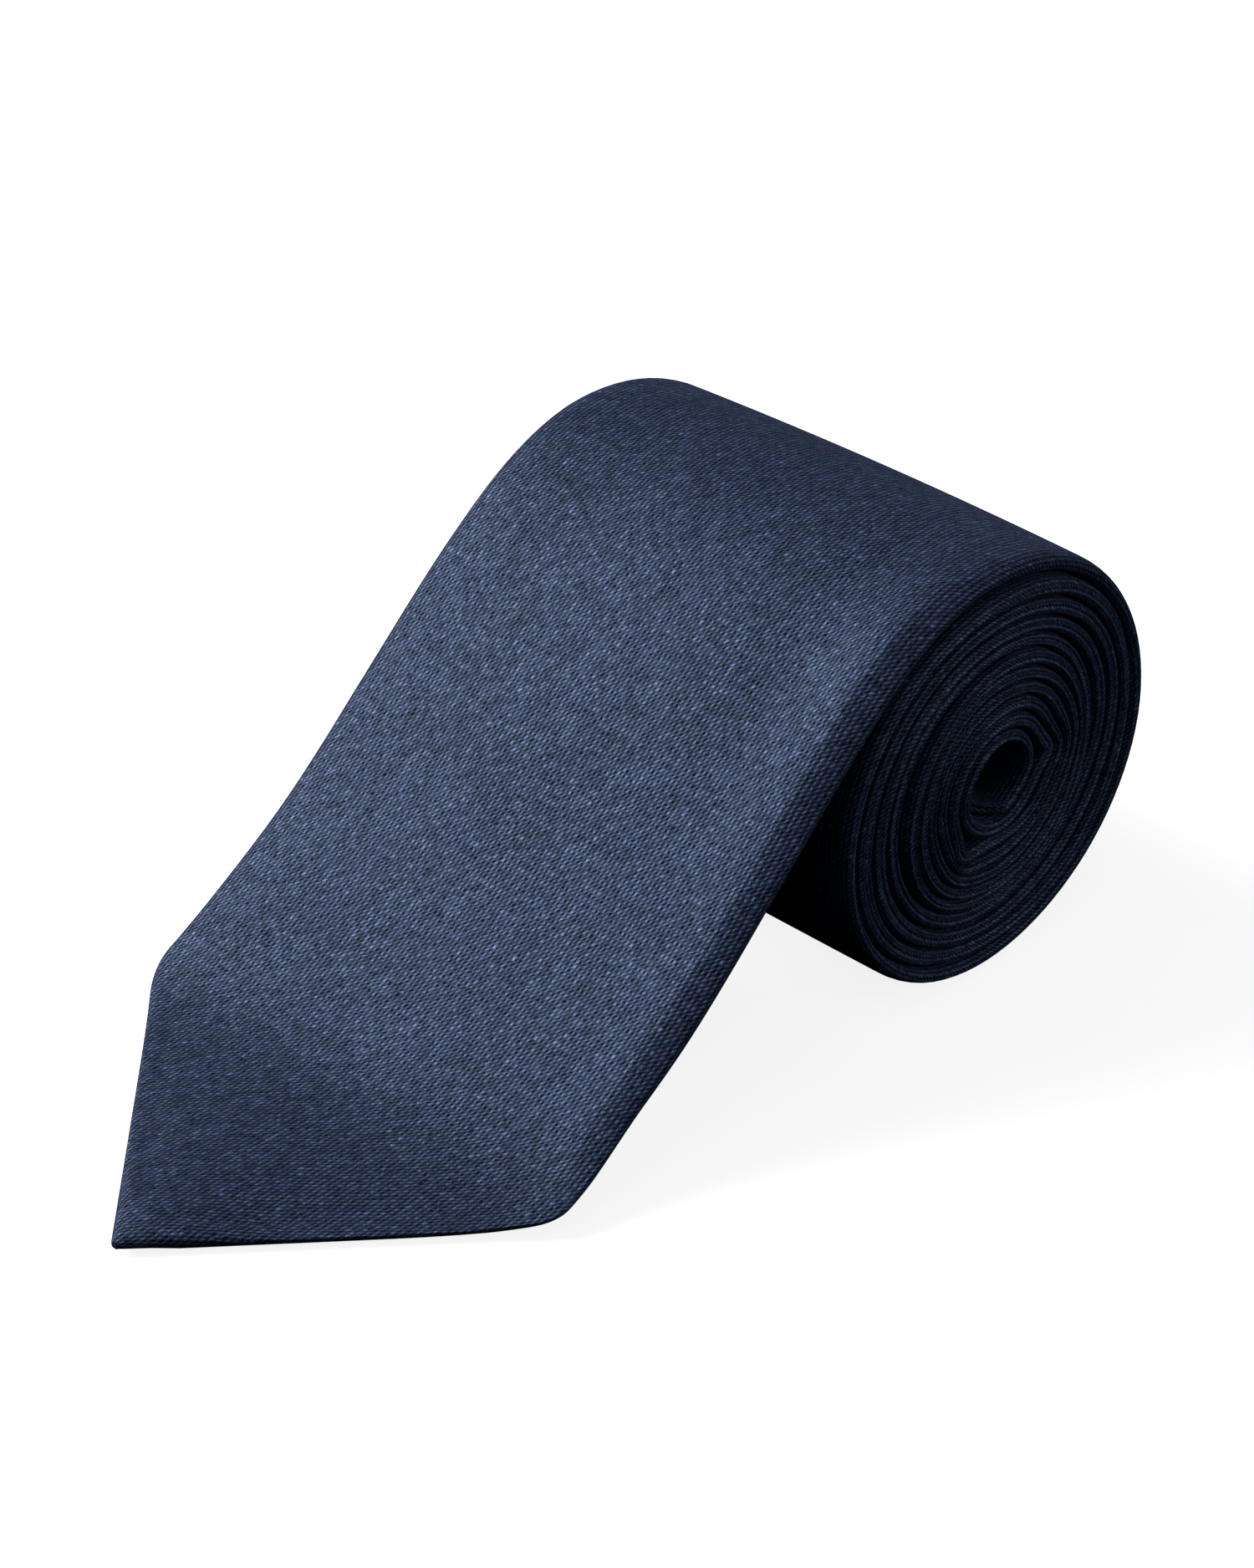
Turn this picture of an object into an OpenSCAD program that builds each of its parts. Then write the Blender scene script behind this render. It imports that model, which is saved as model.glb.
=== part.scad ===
// A navy necktie, rolled up from its narrow tail, with the last of its wide blade
// drawn off the top of the roll and laid down on the table in front of it.
//
// Frame: +X runs along the roll, across the tie. +Z is up. The blade lies towards -Y.
// The origin is at the middle of the underside, on the table.
// "Along" is measured along the tie from the apex of the blade. "Turns" are counted
// outwards from the tail end in the middle of the roll.

/* [Blade] */
// Width of the blade across its shoulders
blade_w = 80; // [70:1:90]
// Length of the pointed tip, from its apex to the shoulders
tip_len = 42.6; // [38:0.1:46]
// How far the apex sits to the right of the blade's centre line
apex_shift = 3; // [0:0.5:4]
// Depth of the turned hem along the two edges of the tip
hem = 7; // [5:0.5:9]
// Distance along the tie to the bar tack, where the back opening closes
tack_along = 120; // [112:1:124]
// Half the width of the back opening, level with the shoulders
opening_half = 24; // [18:1:28]

/* [Neck and tail] */
// Width of the neck
neck_w = 33; // [30:1:36]
// Width of the tail at its shoulders
tail_w = 38; // [34:1:42]
// Distance along the tie to the seam between the blade and the neck
neck_along = 800; // [760:10:840]
// Distance along the tie to the seam between the neck and the tail
tail_along = 1030; // [1000:10:1060]
// Length of the point at the tail end
tail_point = 20; // [16:1:24]

/* [Roll] */
// Number of turns from the tail end to the crest
turns = 11; // [10:1:11]
// Radius of the first turn, to the middle of its cloth
core_r = 5.6; // [5:0.1:7]
// Radial distance from one turn to the next
pitch = 2.33; // [2.3:0.01:2.5]
// How oval the roll is: half the difference of its radii over their mean
oval = 0.02; // [0:0.005:0.04]
// Direction of the roll's long axis, from +Y towards +Z
oval_dir = 45; // [0:5:90]
// Angle past the top of the roll at which the blade leaves it
leave_angle = 9; // [5:1:14]

/* [Drawn blade] */
// Distance from the middle of the roll to the line where the blade meets the table
reach = 84; // [80:1:92]
// Slope at which the blade comes down to the table
land_slope = 31; // [28:1:36]
// Length over which the blade bends on to the table, each side of the line
land_bend = 6; // [5:1:8]
// Pull of the crest on the curve of the drawn blade
crest_pull = 25; // [20:1:30]
// Pull of the table on the curve of the drawn blade
land_pull = 40; // [34:1:44]

/* [Cloth] */
// Thickness of the woven outer cloth
cloth = 0.4; // [0.3:0.05:0.5]
// Thickness of the pressed tie inside the roll
roll_t = 1.75; // [1.7:0.01:1.8]
// Thickness of the drawn blade
flap_t = 3.2; // [2.8:0.1:3.6]
// Thickness of the tip
tip_t = 2.6; // [2.4:0.1:3]
// Thickness of the lining that tips the blade and the tail
lining = 0.25; // [0.2:0.05:0.3]
// Thickness of the sewing thread
thread = 0.3; // [0.2:0.05:0.35]

/* [Loop and labels] */
// Distance along the tie to the keeper loop
keeper_along = 230; // [215:1:245]
// Width of the keeper loop's band, along the tie
keeper_band = 10; // [8:1:12]
// Length of the keeper loop, across the tie
keeper_across = 46; // [40:1:52]
// Thickness of the keeper loop, flattened
keeper_t = 0.46; // [0.4:0.02:0.48]
// Distance along the tie to the blank label
label_along = 262; // [255:1:275]
// Distance along the tie to the care label
care_along = 196; // [180:1:200]

/* [Hidden] */

navy = [0.11, 0.15, 0.25];
navy_lining = [0.08, 0.10, 0.19];
wool = [0.84, 0.81, 0.74];
thread_navy = [0.07, 0.09, 0.16];
label_satin = [0.13, 0.16, 0.26];

seg = 24;                       // stations in one turn
wound_n = turns * seg;          // stations from the tail end to the crest
leave_dir = 90 + leave_angle;
flap_n = 14;                    // stations down the drawn blade
bend_n = 4;                     // stations round the bend on to the table
lift_u = 0.14;                  // where the drawn blade is hinged, on its curve
split = 0.003;                  // half the gap at that hinge, on the same curve
tip_split = 0.2;                // half the gap at the tip's hinge
tip_hinge = tip_len - land_bend - 0.6;  // distance along the tie to the tip's hinge
shell_room = roll_t - 2 * cloth;
wool_t = shell_room - thread - 0.05;
fit = 0.02;                     // clearance between layers that lie on each other
stitch_len = 1.6;
stitch_gap = 2.4;

function total(v) = len(v) == 0 ? 0 : v * [for (x = v) 1];
function path_len(p) = total([for (i = [1 : len(p) - 1]) norm(p[i] - p[i - 1])]);
function unit(v) = v / norm(v);
function mix(a, b, f) = a + (b - a) * f;
function ramp(x, a, b) = min(1, max(0, (x - a) / (b - a)));

// ---- The centre line of the cloth, seen from +X as [y, z] ----

// The spiral about the middle of the roll, at t turns from the tail end
function spiral(t) =
    let (
        a = leave_dir - 360 * (turns - t),
        r = (core_r + pitch * t) * (1 + oval * cos(2 * (a - oval_dir)))
    )
    [r * cos(a), r * sin(a)];
function spiral_len(t) = 2 * PI * (core_r * t + pitch * t * t / 2);
function spiral_dir(t) = unit(spiral(t + 0.001) - spiral(t - 0.001));

// The last turn sets how high and how far back the roll reaches
last_side = [for (i = [wound_n - seg : wound_n])
    let (d = spiral_dir(i / seg)) spiral(i / seg) + [d[1], -d[0]] * roll_t / 2];
roll_z = -min([for (p = last_side) p[1]]);
roll_back = max([for (p = last_side) p[0]]);
tip_y_raw = -reach - tip_len;
roll_y = -(roll_back + tip_y_raw) / 2;
apex_y = roll_y + tip_y_raw;
middle = [roll_y, roll_z];

function wound(t) = middle + spiral(t);

crest = wound(turns);
land = [roll_y - reach, tip_t / 2];
slope_dir = [cos(land_slope), sin(land_slope)];
curve_end = land + land_bend * slope_dir;
bend_end = land - [land_bend, 0];
handle_a = crest + crest_pull * spiral_dir(turns);
handle_b = curve_end + land_pull * slope_dir;

// The drawn blade is a cubic curve from the crest, then a bend on to the table
function drawn(u) =
    pow(1 - u, 3) * crest + 3 * pow(1 - u, 2) * u * handle_a
    + 3 * (1 - u) * u * u * handle_b + pow(u, 3) * curve_end;
function bend(u) = pow(1 - u, 2) * curve_end + 2 * (1 - u) * u * land + u * u * bend_end;

bend_len = path_len([for (i = [0 : 8]) bend(i / 8)]);
bend_along = tip_len - land_bend;
drawn_len = path_len([for (i = [0 : 40]) drawn(i / 40)]);
function drawn_along(u) =
    bend_along + bend_len + (u >= 1 ? 0 : path_len([for (i = [0 : 20]) drawn(mix(u, 1, i / 20))]));
crest_along = drawn_along(0);
function wound_along(t) = crest_along + spiral_len(turns) - spiral_len(t);
// The number of turns at a distance along the tie
function turns_at(s) =
    let (left = spiral_len(turns) - (s - crest_along), k = PI * pitch)
    (-2 * PI * core_r + sqrt(4 * PI * PI * core_r * core_r + 4 * k * left)) / (2 * k);

tie_len = wound_along(0);
neck_t = round(turns_at(neck_along) * seg) / seg;
tail_t = round(turns_at(tail_along) * seg) / seg;

// ---- Widths and thicknesses ----

// The blade narrows smoothly to the neck, and the tail widens again to its shoulders
function width_at(s) =
    s < neck_along ? neck_w + (blade_w - neck_w) * (1 + cos(180 * ramp(s, tip_len, neck_along))) / 2
    : neck_w + (tail_w - neck_w) * ramp(s, tail_along, tie_len - tail_point);
flush_x = width_at(crest_along) / 2;
// Inside the roll the right-hand edges lie flush, so the left-hand ones step inwards
function right_at(s) =
    s < tip_len ? tip_row(s)[1]
    : s <= crest_along ? width_at(s) / 2
    : s < tie_len - tail_point ? flush_x
    : flush_x - tail_w / 2 * 0.9 * ramp(s, tie_len - tail_point, tie_len);
function left_at(s) =
    s < tip_len ? tip_row(s)[0]
    : s <= crest_along ? -width_at(s) / 2
    : s < tie_len - tail_point ? flush_x - width_at(s)
    : flush_x - tail_w + tail_w / 2 * 0.9 * ramp(s, tie_len - tail_point, tie_len);
function half_t_at(s) =
    mix(mix(tip_t, flap_t, ramp(s, tip_len, 80)), roll_t, ramp(s, 90, crest_along - 24)) / 2;

// ---- Stations: [along, place, direction, half thickness, left, right] ----

function station(s, p, d) = [s, p, d, half_t_at(s), left_at(s), right_at(s)];
function wound_station(t) = station(wound_along(t), wound(t), spiral_dir(max(0.001, t)));
function drawn_station(u) =
    station(drawn_along(u), drawn(u), unit(drawn(u + 0.001) - drawn(u - 0.001)));
function bend_station(u) =
    station(bend_along + bend_len * (1 - u), bend(u), unit(bend(u + 0.001) - bend(u - 0.001)));
// Flat on the table, between the bend and the tip's hinge
function flat_station(s) = station(s, [apex_y + s, tip_t / 2], [-1, 0]);

function wound_run(t0, t1) = [for (i = [round(t0 * seg) : round(t1 * seg)]) wound_station(i / seg)];
hinge_u = lift_u - split;
crest_run = [drawn_station(hinge_u / 2), drawn_station(hinge_u)];
drawn_run = concat(
    [for (i = [0 : flap_n - 1]) drawn_station(mix(lift_u + split, 1, i / flap_n))],
    [for (i = [0 : bend_n]) bend_station(i / bend_n)],
    [flat_station(tip_hinge + tip_split)]
);

// The two edges of the tip at a distance along the tie: [left, right]
function tip_row(s) = [for (x = [-1, 1] * blade_w / 2) mix(apex_shift, x, s / tip_len)];
// How far across the tie an inset square to the tip's edge reaches, on each side
function tip_inset(d) = [for (x = [-1, 1] * blade_w / 2) d * norm([x - apex_shift, tip_len]) / tip_len];
// The two edges of the back opening, which the hem bounds below and the bar tack above
function opening_row(s) =
    let (
        v = max(0.15, opening_half * (tack_along - s) / (tack_along - tip_len)),
        h = tip_row(s), d = tip_inset(hem)
    )
    [max(-v, h[0] + d[0]), min(v, h[1] - d[1])];

// ---- Solids swept along the stations ----

// A point of a station: x across the tie, n out from the centre line
function at(st, x, n) = [x, st[1][0] + n * st[2][1], st[1][1] - n * st[2][0]];

function turned(faces, flip) =
    flip ? [for (f = faces) [for (i = [len(f) - 1 : -1 : 0]) f[i]]] : faces;
// The sides of a sweep with m points in a ring, over count of them from start
function side_faces(rings, m, start, count, flip) = turned(
    [for (i = [0 : rings - 2], j = [0 : count - 1])
        let (a = i * m + start + j, b = i * m + start + (j + 1) % count)
        each [[b + m, b, a], [a + m, b + m, a]]],
    flip);
function end_faces(rings, m) =
    [[for (j = [0 : m - 1]) j], [for (j = [m - 1 : -1 : 0]) (rings - 1) * m + j]];
// The four faces between the outer and the inner square at an end of a tube
function tube_end(base, flip) = turned(
    [for (j = [0 : 3]) let (k = (j + 1) % 4) [base + j, base + k, base + 4 + k, base + 4 + j]],
    flip);

// The five faces across the cloth at an end of an open sleeve
function open_end(base, flip) = turned(
    [for (j = [0 : 4]) [base + j, base + j + 1, base + 10 - j, base + 11 - j]],
    flip);

// The four corners of a band at a station: its inner face n0 and outer face n1 from the
// centre line, inset at the sides
function band_ring(st, n0, n1, inset) =
    let (l = st[4] + inset, r = st[5] - inset)
    [at(st, l, n0), at(st, r, n0), at(st, r, n1), at(st, l, n1)];
module solid_band(rings) {
    n = len(rings);
    points = [for (ring = rings) each ring];
    polyhedron(points, concat(side_faces(n, 4, 0, 4, false), end_faces(n, 4)));
}
module band(run, n0, n1, inset) solid_band([for (st = run) band_ring(st, n0, n1, inset)]);

// The closed sleeve of outer cloth: a flat tube, open at its two ends
module sleeve(run) {
    points = [for (st = run)
        let (l = st[4], r = st[5], h = st[3], g = st[3] - cloth, c = cloth)
        each [
            at(st, l, -h), at(st, r, -h), at(st, r, h), at(st, l, h),
            at(st, l + c, -g), at(st, r - c, -g), at(st, r - c, g), at(st, l + c, g)
        ]];
    n = len(run);
    polyhedron(points, concat(
        side_faces(n, 8, 0, 4, false), side_faces(n, 8, 4, 4, true),
        tube_end(0, false), tube_end((n - 1) * 8, true)
    ));
}

// The sleeve where its back is open along the middle
module open_sleeve(run) {
    points = [for (st = run)
        let (l = st[4], r = st[5], h = st[3], g = st[3] - cloth, c = cloth,
             v = opening_row(st[0]))
        each [
            at(st, v[1], -h), at(st, r, -h), at(st, r, h), at(st, l, h), at(st, l, -h),
            at(st, v[0], -h), at(st, v[0], -g), at(st, l + c, -g), at(st, l + c, g),
            at(st, r - c, g), at(st, r - c, -g), at(st, v[1], -g)
        ]];
    n = len(run);
    polyhedron(points, concat(
        side_faces(n, 12, 0, 12, false),
        open_end(0, false), open_end((n - 1) * 12, true)
    ));
}

// A point n out from the centre line at t turns, on the flats between two stations
function on_flats(t, n) =
    let (i = floor(t * seg), f = t * seg - i)
    mix(at(wound_station(i / seg), 0, n), at(wound_station((i + 1) / seg), 0, n), f);

// A prism across the tie that lies on the back of a wound turn, in the gap below it
module wound_patch(s, long, across, thick, centre_x) {
    t0 = turns_at(s + long / 2);
    t1 = turns_at(s - long / 2);
    knees = [for (i = [ceil(t0 * seg) : 1 : floor(t1 * seg)]) i / seg];
    ts = concat([t0], knees, [t1]);
    back = -roll_t / 2 - fit;
    top = [for (t = ts) on_flats(t, back)];
    low = [for (i = [len(ts) - 1 : -1 : 0]) on_flats(ts[i], back - thick)];
    translate([centre_x - across / 2, 0, 0])
        rotate([90, 0, 90])
            linear_extrude(across)
                polygon([for (p = concat(top, low)) [p[1], p[2]]]);
}

// ---- The wound part ----

module blade_shell_wound() color(navy) sleeve(concat(wound_run(neck_t, turns), crest_run));

module neck_shell() color(navy) sleeve(wound_run(tail_t, neck_t));

module tail_shell() color(navy) sleeve(wound_run(0, tail_t));

wool_top = roll_t / 2 - cloth - fit;

module blade_interlining_wound() color(wool)
    band(concat(wound_run(tail_t + 0.5, turns), crest_run), wool_top - wool_t, wool_top, 0.6);

module tail_interlining() color(wool)
    band(wound_run(tail_point / 34, tail_t + 0.5), wool_top - wool_t, wool_top, 0.6);

module tail_tipping() color(navy_lining)
    band(wound_run(0, 1.5), -shell_room / 2 + fit, -shell_room / 2 + lining, 0.8);

// The long slip stitch that closes the back, inside the sleeve
module slip_stitch_thread() {
    run = [for (st = wound_run(2, turns))
        let (m = (st[4] + st[5]) / 2) [st[0], st[1], st[2], st[3], m - thread / 2, m + thread / 2]];
    low = -shell_room / 2 + fit;
    color(thread_navy) band(run, low, low + thread, 0);
}

module seam_thread(s) color(thread_navy)
    wound_patch(s, thread, width_at(s) - 2, thread, flush_x - width_at(s) / 2);

module neck_seam_thread() seam_thread(neck_along);

module tail_seam_thread() seam_thread(tail_along);

function back_middle(s) = flush_x - width_at(s) / 2;

module keeper_loop() color(navy)
    wound_patch(keeper_along, keeper_band, keeper_across, keeper_t, back_middle(keeper_along));

// Short tacks that hold the loop's two ends to the back
module keeper_loop_tacks() color(thread_navy)
    for (side = [-1, 1])
        wound_patch(keeper_along, keeper_band - 2, 0.8, keeper_t,
            back_middle(keeper_along) + side * (keeper_across / 2 + 0.8));

module blank_label() color(label_satin)
    wound_patch(label_along, 16, 42, lining, back_middle(label_along));

module care_label() color(label_satin)
    wound_patch(care_along, 22, 14, lining, back_middle(care_along));

module tail_bar_tack() color(thread_navy)
    wound_patch(tie_len - 75, 1.2, 6, 0.45, back_middle(tie_len - 75));

// ---- The drawn blade ----

module blade_shell_drawn() color(navy) open_sleeve(drawn_run);

// A layer inside the drawn blade, with its underside a fixed depth above the back. With no
// thickness of its own it fills the fold up to the front
module drawn_layer(depth, thick, inset, end_along)
    solid_band([for (st = drawn_run) if (st[0] <= end_along)
        let (n0 = -st[3] + depth)
        band_ring(st, n0, thick > 0 ? n0 + thick : st[3] - cloth - fit, inset)]);

tipping_depth = cloth + fit;
wool_depth = tipping_depth + lining + fit;

module blade_interlining_drawn() color(wool) drawn_layer(wool_depth, 0, 0.6, 200);

module blade_tipping_drawn() color(navy_lining)
    drawn_layer(tipping_depth, lining, 0.8, tack_along + 6);

// Places a child on the back of the drawn blade, its +Z pointing out of the back
module on_back(s, depth) {
    near = [for (st = drawn_run) if (st[0] <= s) st][0];
    far = [for (st = drawn_run) if (st[0] > s) st];
    st = far[len(far) - 1];
    f = (st[0] - s) / (st[0] - near[0]);
    p = mix(at(st, 0, -st[3] + depth), at(near, 0, -near[3] + depth), f);
    d = unit(mix(st[2], near[2], f));
    translate(p) rotate([atan2(d[1], d[0]), 0, 0]) children();
}

module blade_bar_tack() color(thread_navy)
    on_back(tack_along, -0.42)
        rotate([0, 90, 0]) cylinder(h = 6, d = 0.8, center = true, $fn = 24);

// The spare loop at the end of the slip stitch, lying in the back opening
module slip_stitch_loop() color(thread_navy)
    on_back(tack_along - 12, cloth / 2)
        rotate_extrude($fn = 48) translate([2.2, 0]) circle(d = thread, $fn = 16);

// ---- The tip, flat on the table ----

cut_s = tip_hinge - tip_split;
past = 1;

// The outline of the tip up to a distance along the tie, moved in from its two edges
module tip_outline(inset, end) {
    row = tip_row(end);
    d = tip_inset(inset);
    meet = end * (d[0] + d[1]) / (row[1] - row[0]);
    polygon([
        [row[0] + d[0], apex_y + end],
        [tip_row(meet)[0] + d[0], apex_y + meet],
        [row[1] - d[1], apex_y + end]
    ]);
}

module tip_layer(z, thick, inset, end = cut_s)
    translate([0, 0, z]) linear_extrude(thick) tip_outline(inset, end);

module blade_shell_tip() color(navy)
    difference() {
        tip_layer(0, tip_t, 0);
        tip_layer(cloth, tip_t - 2 * cloth, cloth, cut_s + past);
        tip_layer(-past, past + 2 * cloth, hem, cut_s + past);
    }

module blade_interlining_tip() color(wool)
    tip_layer(wool_depth, tip_t - cloth - fit - wool_depth, 0.6);

module blade_tipping_tip() color(navy_lining) tip_layer(tipping_depth, lining, 0.8);

// The stitches that hold the lining to the hem, inside the back opening
module tip_hem_stitches() color(thread_navy)
    for (side = [0, 1], s = [hem + 6 : stitch_gap : cut_s - 2]) {
        edge = tip_row(s)[side] + (1 - 2 * side) * tip_inset(hem + 0.6)[side];
        run = tip_row(tip_len)[side] - apex_shift;
        translate([edge, apex_y + s, cloth - thread / 3])
            rotate([0, 0, atan2(tip_len, run)])
                cube([stitch_len, thread, thread / 2], center = true);
    }

blade_shell_wound();
neck_shell();
tail_shell();
blade_interlining_wound();
tail_interlining();
tail_tipping();
slip_stitch_thread();
neck_seam_thread();
tail_seam_thread();
keeper_loop();
keeper_loop_tacks();
blank_label();
care_label();
tail_bar_tack();
blade_shell_drawn();
blade_interlining_drawn();
blade_tipping_drawn();
blade_bar_tack();
slip_stitch_loop();
blade_shell_tip();
blade_interlining_tip();
blade_tipping_tip();
tip_hem_stitches();
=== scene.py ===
import math
import bpy
import numpy as np
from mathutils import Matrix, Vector


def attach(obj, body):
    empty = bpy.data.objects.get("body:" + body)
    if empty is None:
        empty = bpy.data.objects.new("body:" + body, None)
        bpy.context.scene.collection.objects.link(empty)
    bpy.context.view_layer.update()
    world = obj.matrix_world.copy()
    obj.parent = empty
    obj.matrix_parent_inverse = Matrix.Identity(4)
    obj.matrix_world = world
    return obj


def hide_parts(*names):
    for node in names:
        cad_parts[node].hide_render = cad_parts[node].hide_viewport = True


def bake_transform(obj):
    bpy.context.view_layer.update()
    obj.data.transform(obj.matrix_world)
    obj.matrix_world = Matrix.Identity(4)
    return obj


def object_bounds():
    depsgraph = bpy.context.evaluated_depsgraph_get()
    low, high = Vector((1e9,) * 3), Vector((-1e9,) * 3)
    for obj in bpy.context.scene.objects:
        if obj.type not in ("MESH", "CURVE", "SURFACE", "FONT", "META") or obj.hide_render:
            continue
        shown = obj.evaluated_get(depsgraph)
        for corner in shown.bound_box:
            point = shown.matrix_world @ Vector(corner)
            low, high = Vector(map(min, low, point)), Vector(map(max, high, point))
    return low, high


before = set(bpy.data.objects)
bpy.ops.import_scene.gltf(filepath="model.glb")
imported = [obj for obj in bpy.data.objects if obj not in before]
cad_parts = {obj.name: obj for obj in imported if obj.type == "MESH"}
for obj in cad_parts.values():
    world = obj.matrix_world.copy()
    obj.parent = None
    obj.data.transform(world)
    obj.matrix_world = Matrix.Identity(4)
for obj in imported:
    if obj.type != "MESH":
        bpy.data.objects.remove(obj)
cad_box = [list(corner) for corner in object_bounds()]

# Everything below is worked out in millimetres and turned into metres when a mesh is made.
MM = 0.001

# ---- Sizes shared with the CAD source ----
# A name that ends in ALONG is a distance from the apex along the tie.
BLADE_W = 80.0  # the blade across its shoulders
TIP_LEN = 42.6  # from the shoulders to the apex
APEX_SHIFT = 3.0  # how far the apex lies right of the middle
HEM = 7.0  # cloth turned under at the tip
TACK_ALONG = 120.0
OPENING_HALF = 24.0  # half the width of the open back at the shoulders
NECK_W = 33.0
TAIL_W = 38.0
NECK_ALONG = 800.0  # the seam between blade and neck
TAIL_ALONG = 1030.0  # the seam between neck and tail
TAIL_POINT = 20.0
TURNS = 11
CORE_R = 5.6  # radius of the roll at the tail's end
PITCH = 2.33  # from one turn to the next
OVAL = 0.02  # share by which the roll is out of round, longest towards OVAL_DIR
OVAL_DIR = 45.0
LEAVE_ANGLE = 9.0  # how far past the top the blade leaves the roll, in degrees
LEAVE_DIR = 90.0 + LEAVE_ANGLE
REACH = 84.0  # from the middle of the roll to the foot of the slope
LAND_SLOPE = 31.0  # slope of the blade above its foot, in degrees
LAND_BEND = 6.0  # length of the bend on each side of the foot
CREST_PULL = 25.0  # handles of the curve from the crest to the slope
LAND_PULL = 40.0
CLOTH = 0.4
ROLL_T = 1.75  # thickness of the CAD's tie in the roll, on the slope and at the tip
FLAP_T = 3.2
TIP_T = 2.6
LINING = 0.25
THREAD = 0.3
KEEPER_ALONG = 230.0
KEEPER_BAND = 10.0
KEEPER_ACROSS = 46.0
KEEPER_T = 0.46
LABEL_ALONG = 262.0
CARE_ALONG = 196.0

# ---- Sizes of the cloth as it really lies ----
LOOSE_TURN = 6.7  # the turns outside this one are wound less tightly
LOOSE_SAG = 2.0  # how far inside the even spiral that turn lies
LAYER_FILL = 0.87  # share of the room between turns that the cloth fills
CORE_LAYER = 1.9  # thickness of the tie in the middle turn, on the slope and at the tip
FLAP_LAYER = 4.2
TIP_LAYER = 3.2
BEND_EASE = 6.0  # how gently the blade turns from its slope to lying flat
DRAWN_IN = 1.3  # how far the drawn blade's right edge stands back from the CAD's
NARROWED = 0.6  # how far its left edge does, just above the shoulder
PAST_SHOULDER = TIP_LEN + 8
LAP = 3.0  # how far the right-hand back edge laps past the middle
SLIT_HALF = 0.12  # half the gap between two back edges that meet
EDGE_TOP = 2.8  # how far in from a folded edge its curve starts, on top and below
EDGE_LOW = 1.6
EDGE_TOP_CORE = 1.15  # the same on top, in the middle turns
TIP_SLANT = 1.38  # the edges of the tip run at a slant, which widens their curve
TIP_CROWN = 1.15  # how far the middle stands above the edges
FLAP_CROWN = 0.7
ROLL_CROWN = 0.12
WOOL_GAP = 0.45  # from the front of the shell to the interlining
WOOL_FROM = 9  # where the interlining and the lining start, from the apex
LINING_FROM = 8
LEAST_LAYER = 0.15  # no layer inside is pressed thinner than this
FINE_THREAD = 0.25

# Points round the folded section: across the front, round each edge and along each back half
FRONT_N = 21
ARC_N = 15
BACK_N = 7


# ---- The line of the cloth, seen from +X as (y, z) ----

def smooth(x, a, b):
    """0 before a, 1 after b and a smooth step between them."""
    f = np.clip((np.asarray(x, float) - a) / (b - a), 0, 1)
    return f * f * (3 - 2 * f)


def ramp(x, a, b):
    """0 before a, 1 after b and a straight line between them."""
    return np.clip((np.asarray(x, float) - a) / (b - a), 0, 1)


def along_direction(degrees):
    a = np.radians(degrees)
    return np.stack([np.cos(a), np.sin(a)], -1)


def turn_direction(t):
    """Direction from the middle of the roll, in degrees, at t turns from the tail end."""
    return LEAVE_DIR - 360 * (TURNS - np.asarray(t, float))


def cad_radius(t):
    """Radius of the CAD's spiral at t turns from the tail end."""
    a = np.radians(2 * (turn_direction(t) - OVAL_DIR))
    return (CORE_R + PITCH * np.asarray(t, float)) * (1 + OVAL * np.cos(a))


def cad_spiral(t):
    return cad_radius(t)[..., None] * along_direction(turn_direction(t))


def spiral_len(t):
    t = np.asarray(t, float)
    return 2 * math.pi * (CORE_R * t + PITCH * t * t / 2)


def unit_rows(v):
    return v / np.linalg.norm(v, axis=-1, keepdims=True)


def out_of(d):
    """The outward normal of a direction of travel."""
    return np.stack([d[..., 1], -d[..., 0]], -1)


def spiral_dir(t):
    return unit_rows(cad_spiral(t + 0.001) - cad_spiral(t - 0.001))


last_turn = np.linspace(TURNS - 1, TURNS, 25)
last_side = cad_spiral(last_turn) + out_of(spiral_dir(last_turn)) * ROLL_T / 2
APEX_Y = cad_box[0][1] / MM
MIDDLE = np.array([APEX_Y + REACH + TIP_LEN, -last_side[:, 1].min()])
CREST = MIDDLE + cad_spiral(np.array(float(TURNS)))
LAND = np.array([MIDDLE[0] - REACH, TIP_T / 2])
SLOPE = along_direction(LAND_SLOPE)
CURVE_END = LAND + LAND_BEND * SLOPE
BEND_END = LAND - [LAND_BEND, 0]
HANDLE_A = CREST + CREST_PULL * spiral_dir(np.array(float(TURNS)))
HANDLE_B = CURVE_END + LAND_PULL * SLOPE


def drawn(u):
    u = np.asarray(u, float)[..., None]
    w = 1 - u
    return w**3 * CREST + 3 * w * w * u * HANDLE_A + 3 * w * u * u * HANDLE_B + u**3 * CURVE_END


def bend(u):
    """The bend from the slope on to the table."""
    u = np.asarray(u, float)[..., None]
    w = 1 - u
    return w * w * CURVE_END + 2 * w * u * LAND + u * u * BEND_END


def path_len(points):
    return float(np.linalg.norm(np.diff(points, axis=0), axis=1).sum())


BEND_LEN = path_len(bend(np.linspace(0, 1, 9)))
DRAWN_LEN = path_len(drawn(np.linspace(0, 1, 41)))
CREST_ALONG = TIP_LEN - LAND_BEND + BEND_LEN + DRAWN_LEN
ROLL_LEN = float(spiral_len(TURNS))
TIE_LEN = CREST_ALONG + ROLL_LEN


def width_at(s):
    s = np.asarray(s, float)
    blade = NECK_W + (BLADE_W - NECK_W) * (1 + np.cos(math.pi * ramp(s, TIP_LEN, NECK_ALONG))) / 2
    tail = NECK_W + (TAIL_W - NECK_W) * ramp(s, TAIL_ALONG, TIE_LEN - TAIL_POINT)
    return np.where(s < NECK_ALONG, blade, tail)


FLUSH_X = float(width_at(CREST_ALONG)) / 2


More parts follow.
